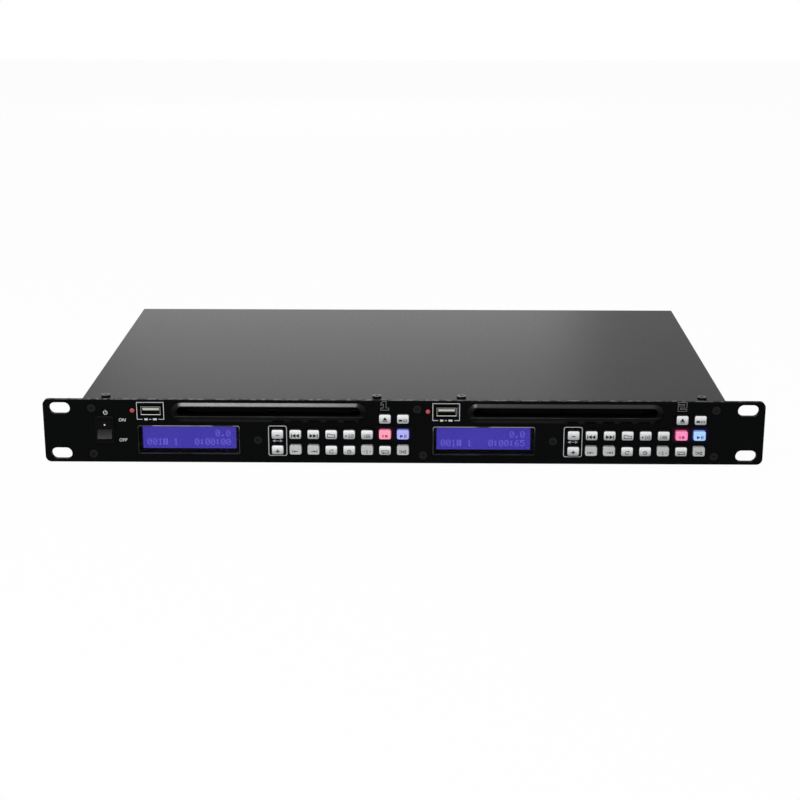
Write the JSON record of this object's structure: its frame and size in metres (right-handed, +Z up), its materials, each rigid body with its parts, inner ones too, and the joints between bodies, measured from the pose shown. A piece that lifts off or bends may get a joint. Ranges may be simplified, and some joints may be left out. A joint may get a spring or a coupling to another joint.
{
  "type": "rack-mount disc player",
  "caption": "One-unit rack twin disc player: slot-in disc drives, displays, sprung key rows, data sockets and a rocker switch on a flat black panel.",
  "frame": {"origin": "centre of the rack-hole pattern, on the front panel's back face", "axes": "+X right as seen from the front, +Y to the back of the case, +Z up"},
  "size_m": [0.4826, 0.2718, 0.0452],
  "materials": {
    "panel_black": "semi-gloss black powder coat",
    "tray_steel": "plain zinc-coated sheet",
    "cover_grey": "satin dark grey paint",
    "black_screw": "black oxide",
    "bezel_black": "gloss black moulding",
    "window_smoke": "clear acrylic",
    "display_cell": "blue-violet backlit cell in a black frame",
    "socket_shell": "nickel plate",
    "lamp_red": "diffused red",
    "switch_black": "satin black moulding",
    "board_green": "green solder mask",
    "supply_board": "tan phenolic board",
    "mechanism_steel": "zinc-coated sheet",
    "inlet_black": "matt black",
    "jack_black": "matt black with metal barrels",
    "roller_rubber": "matt",
    "turntable_plastic": "black",
    "pickup_metal": "die-cast",
    "silver_key": "silver face on smoked clear plastic",
    "milky_key": "milky translucent",
    "cue_key_a": "milky, lit pink",
    "play_key_a": "milky, lit lavender blue",
    "cue_key_b": "milky, lit pink",
    "play_key_b": "milky, lit sky blue"
  },
  "bodies": {
    "case": {"front_panel": "panel_black", "chassis_tray": "tray_steel", "top_cover": "cover_grey", "panel_screws": "black_screw", "cover_screws": "black_screw", "slot_bezels": "bezel_black", "display_windows": "window_smoke", "display_modules": "display_cell", "usb_sockets": "socket_shell", "status_lamps": "lamp_red", "switch_housing": "switch_black", "control_boards": "board_green", "disc_mechanisms": "mechanism_steel", "power_supply": "supply_board", "main_board": "board_green", "mains_inlet": "inlet_black", "audio_jacks": "jack_black"},
    "key_a_pitch_up": {"key_a_pitch_up": "silver_key"},
    "key_a_loop_in": {"key_a_loop_in": "milky_key"},
    "key_a_loop_out": {"key_a_loop_out": "milky_key"},
    "key_a_reloop": {"key_a_reloop": "silver_key"},
    "key_a_time": {"key_a_time": "silver_key"},
    "key_a_single": {"key_a_single": "milky_key"},
    "key_a_repeat": {"key_a_repeat": "silver_key"},
    "key_a_shuffle": {"key_a_shuffle": "milky_key"},
    "key_a_pitch_down": {"key_a_pitch_down": "silver_key"},
    "key_a_previous": {"key_a_previous": "silver_key"},
    "key_a_next": {"key_a_next": "silver_key"},
    "key_a_folder": {"key_a_folder": "silver_key"},
    "key_a_plus_ten": {"key_a_plus_ten": "silver_key"},
    "key_a_program": {"key_a_program": "silver_key"},
    "key_a_cue": {"key_a_cue": "cue_key_a"},
    "key_a_play": {"key_a_play": "play_key_a"},
    "key_a_eject": {"key_a_eject": "silver_key"},
    "key_a_mode": {"key_a_mode": "silver_key"},
    "key_b_pitch_up": {"key_b_pitch_up": "silver_key"},
    "key_b_loop_in": {"key_b_loop_in": "milky_key"},
    "key_b_loop_out": {"key_b_loop_out": "milky_key"},
    "key_b_reloop": {"key_b_reloop": "silver_key"},
    "key_b_time": {"key_b_time": "silver_key"},
    "key_b_single": {"key_b_single": "milky_key"},
    "key_b_repeat": {"key_b_repeat": "silver_key"},
    "key_b_shuffle": {"key_b_shuffle": "milky_key"},
    "key_b_pitch_down": {"key_b_pitch_down": "silver_key"},
    "key_b_previous": {"key_b_previous": "silver_key"},
    "key_b_next": {"key_b_next": "silver_key"},
    "key_b_folder": {"key_b_folder": "silver_key"},
    "key_b_plus_ten": {"key_b_plus_ten": "silver_key"},
    "key_b_program": {"key_b_program": "silver_key"},
    "key_b_cue": {"key_b_cue": "cue_key_b"},
    "key_b_play": {"key_b_play": "play_key_b"},
    "key_b_eject": {"key_b_eject": "silver_key"},
    "key_b_mode": {"key_b_mode": "silver_key"},
    "power_rocker": {"power_rocker": "switch_black"},
    "feed_roller_a": {"feed_roller_a": "roller_rubber"},
    "turntable_a": {"turntable_a": "turntable_plastic"},
    "pickup_a": {"pickup_a": "pickup_metal"},
    "feed_roller_b": {"feed_roller_b": "roller_rubber"},
    "turntable_b": {"turntable_b": "turntable_plastic"},
    "pickup_b": {"pickup_b": "pickup_metal"}
  },
  "joints": [
    {"name": "power_rocker_tilt", "type": "hinge", "parent": "case", "child": "power_rocker", "pos_m": [-0.2, -0.001, 0.001], "axis": [1, 0, 0], "range_deg": [0, 16]},
    {"name": "feed_roller_a_turn", "type": "hinge", "parent": "case", "child": "feed_roller_a", "pos_m": [-0.0897, 0.022, 0.0076], "axis": [1, 0, 0], "continuous": true},
    {"name": "turntable_a_spin", "type": "hinge", "parent": "case", "child": "turntable_a", "pos_m": [-0.0897, 0.08, 0.005], "axis": [0, 0, 1], "continuous": true},
    {"name": "pickup_a_track", "type": "slide", "parent": "case", "child": "pickup_a", "axis": [0, 1, 0], "range_m": [0, 0.032]},
    {"name": "feed_roller_b_turn", "type": "hinge", "parent": "case", "child": "feed_roller_b", "pos_m": [0.1083, 0.022, 0.0076], "axis": [1, 0, 0], "continuous": true},
    {"name": "turntable_b_spin", "type": "hinge", "parent": "case", "child": "turntable_b", "pos_m": [0.1083, 0.08, 0.005], "axis": [0, 0, 1], "continuous": true},
    {"name": "pickup_b_track", "type": "slide", "parent": "case", "child": "pickup_b", "axis": [0, 1, 0], "range_m": [0, 0.032]},
    {"name": "key_a_pitch_up_press", "type": "slide", "parent": "case", "child": "key_a_pitch_up", "axis": [0, 1, 0], "range_m": [0, 0.0005], "stiffness_N_per_m": 800, "springref_m": -0.0005},
    {"name": "key_a_loop_in_press", "type": "slide", "parent": "case", "child": "key_a_loop_in", "axis": [0, 1, 0], "range_m": [0, 0.0005], "stiffness_N_per_m": 800, "springref_m": -0.0005},
    {"name": "key_a_loop_out_press", "type": "slide", "parent": "case", "child": "key_a_loop_out", "axis": [0, 1, 0], "range_m": [0, 0.0005], "stiffness_N_per_m": 800, "springref_m": -0.0005},
    {"name": "key_a_reloop_press", "type": "slide", "parent": "case", "child": "key_a_reloop", "axis": [0, 1, 0], "range_m": [0, 0.0005], "stiffness_N_per_m": 800, "springref_m": -0.0005},
    {"name": "key_a_time_press", "type": "slide", "parent": "case", "child": "key_a_time", "axis": [0, 1, 0], "range_m": [0, 0.0005], "stiffness_N_per_m": 800, "springref_m": -0.0005},
    {"name": "key_a_single_press", "type": "slide", "parent": "case", "child": "key_a_single", "axis": [0, 1, 0], "range_m": [0, 0.0005], "stiffness_N_per_m": 800, "springref_m": -0.0005},
    {"name": "key_a_repeat_press", "type": "slide", "parent": "case", "child": "key_a_repeat", "axis": [0, 1, 0], "range_m": [0, 0.0005], "stiffness_N_per_m": 800, "springref_m": -0.0005},
    {"name": "key_a_shuffle_press", "type": "slide", "parent": "case", "child": "key_a_shuffle", "axis": [0, 1, 0], "range_m": [0, 0.0005], "stiffness_N_per_m": 800, "springref_m": -0.0005},
    {"name": "key_a_pitch_down_press", "type": "slide", "parent": "case", "child": "key_a_pitch_down", "axis": [0, 1, 0], "range_m": [0, 0.0005], "stiffness_N_per_m": 800, "springref_m": -0.0005},
    {"name": "key_a_previous_press", "type": "slide", "parent": "case", "child": "key_a_previous", "axis": [0, 1, 0], "range_m": [0, 0.0005], "stiffness_N_per_m": 800, "springref_m": -0.0005},
    {"name": "key_a_next_press", "type": "slide", "parent": "case", "child": "key_a_next", "axis": [0, 1, 0], "range_m": [0, 0.0005], "stiffness_N_per_m": 800, "springref_m": -0.0005},
    {"name": "key_a_folder_press", "type": "slide", "parent": "case", "child": "key_a_folder", "axis": [0, 1, 0], "range_m": [0, 0.0005], "stiffness_N_per_m": 800, "springref_m": -0.0005},
    {"name": "key_a_plus_ten_press", "type": "slide", "parent": "case", "child": "key_a_plus_ten", "axis": [0, 1, 0], "range_m": [0, 0.0005], "stiffness_N_per_m": 800, "springref_m": -0.0005},
    {"name": "key_a_program_press", "type": "slide", "parent": "case", "child": "key_a_program", "axis": [0, 1, 0], "range_m": [0, 0.0005], "stiffness_N_per_m": 800, "springref_m": -0.0005},
    {"name": "key_a_cue_press", "type": "slide", "parent": "case", "child": "key_a_cue", "axis": [0, 1, 0], "range_m": [0, 0.0005], "stiffness_N_per_m": 800, "springref_m": -0.0005},
    {"name": "key_a_play_press", "type": "slide", "parent": "case", "child": "key_a_play", "axis": [0, 1, 0], "range_m": [0, 0.0005], "stiffness_N_per_m": 800, "springref_m": -0.0005},
    {"name": "key_a_eject_press", "type": "slide", "parent": "case", "child": "key_a_eject", "axis": [0, 1, 0], "range_m": [0, 0.0005], "stiffness_N_per_m": 800, "springref_m": -0.0005},
    {"name": "key_a_mode_press", "type": "slide", "parent": "case", "child": "key_a_mode", "axis": [0, 1, 0], "range_m": [0, 0.0005], "stiffness_N_per_m": 800, "springref_m": -0.0005},
    {"name": "key_b_pitch_up_press", "type": "slide", "parent": "case", "child": "key_b_pitch_up", "axis": [0, 1, 0], "range_m": [0, 0.0005], "stiffness_N_per_m": 800, "springref_m": -0.0005},
    {"name": "key_b_loop_in_press", "type": "slide", "parent": "case", "child": "key_b_loop_in", "axis": [0, 1, 0], "range_m": [0, 0.0005], "stiffness_N_per_m": 800, "springref_m": -0.0005},
    {"name": "key_b_loop_out_press", "type": "slide", "parent": "case", "child": "key_b_loop_out", "axis": [0, 1, 0], "range_m": [0, 0.0005], "stiffness_N_per_m": 800, "springref_m": -0.0005},
    {"name": "key_b_reloop_press", "type": "slide", "parent": "case", "child": "key_b_reloop", "axis": [0, 1, 0], "range_m": [0, 0.0005], "stiffness_N_per_m": 800, "springref_m": -0.0005},
    {"name": "key_b_time_press", "type": "slide", "parent": "case", "child": "key_b_time", "axis": [0, 1, 0], "range_m": [0, 0.0005], "stiffness_N_per_m": 800, "springref_m": -0.0005},
    {"name": "key_b_single_press", "type": "slide", "parent": "case", "child": "key_b_single", "axis": [0, 1, 0], "range_m": [0, 0.0005], "stiffness_N_per_m": 800, "springref_m": -0.0005},
    {"name": "key_b_repeat_press", "type": "slide", "parent": "case", "child": "key_b_repeat", "axis": [0, 1, 0], "range_m": [0, 0.0005], "stiffness_N_per_m": 800, "springref_m": -0.0005},
    {"name": "key_b_shuffle_press", "type": "slide", "parent": "case", "child": "key_b_shuffle", "axis": [0, 1, 0], "range_m": [0, 0.0005], "stiffness_N_per_m": 800, "springref_m": -0.0005},
    {"name": "key_b_pitch_down_press", "type": "slide", "parent": "case", "child": "key_b_pitch_down", "axis": [0, 1, 0], "range_m": [0, 0.0005], "stiffness_N_per_m": 800, "springref_m": -0.0005},
    {"name": "key_b_previous_press", "type": "slide", "parent": "case", "child": "key_b_previous", "axis": [0, 1, 0], "range_m": [0, 0.0005], "stiffness_N_per_m": 800, "springref_m": -0.0005},
    {"name": "key_b_next_press", "type": "slide", "parent": "case", "child": "key_b_next", "axis": [0, 1, 0], "range_m": [0, 0.0005], "stiffness_N_per_m": 800, "springref_m": -0.0005},
    {"name": "key_b_folder_press", "type": "slide", "parent": "case", "child": "key_b_folder", "axis": [0, 1, 0], "range_m": [0, 0.0005], "stiffness_N_per_m": 800, "springref_m": -0.0005},
    {"name": "key_b_plus_ten_press", "type": "slide", "parent": "case", "child": "key_b_plus_ten", "axis": [0, 1, 0], "range_m": [0, 0.0005], "stiffness_N_per_m": 800, "springref_m": -0.0005},
    {"name": "key_b_program_press", "type": "slide", "parent": "case", "child": "key_b_program", "axis": [0, 1, 0], "range_m": [0, 0.0005], "stiffness_N_per_m": 800, "springref_m": -0.0005},
    {"name": "key_b_cue_press", "type": "slide", "parent": "case", "child": "key_b_cue", "axis": [0, 1, 0], "range_m": [0, 0.0005], "stiffness_N_per_m": 800, "springref_m": -0.0005},
    {"name": "key_b_play_press", "type": "slide", "parent": "case", "child": "key_b_play", "axis": [0, 1, 0], "range_m": [0, 0.0005], "stiffness_N_per_m": 800, "springref_m": -0.0005},
    {"name": "key_b_eject_press", "type": "slide", "parent": "case", "child": "key_b_eject", "axis": [0, 1, 0], "range_m": [0, 0.0005], "stiffness_N_per_m": 800, "springref_m": -0.0005},
    {"name": "key_b_mode_press", "type": "slide", "parent": "case", "child": "key_b_mode", "axis": [0, 1, 0], "range_m": [0, 0.0005], "stiffness_N_per_m": 800, "springref_m": -0.0005}
  ]
}
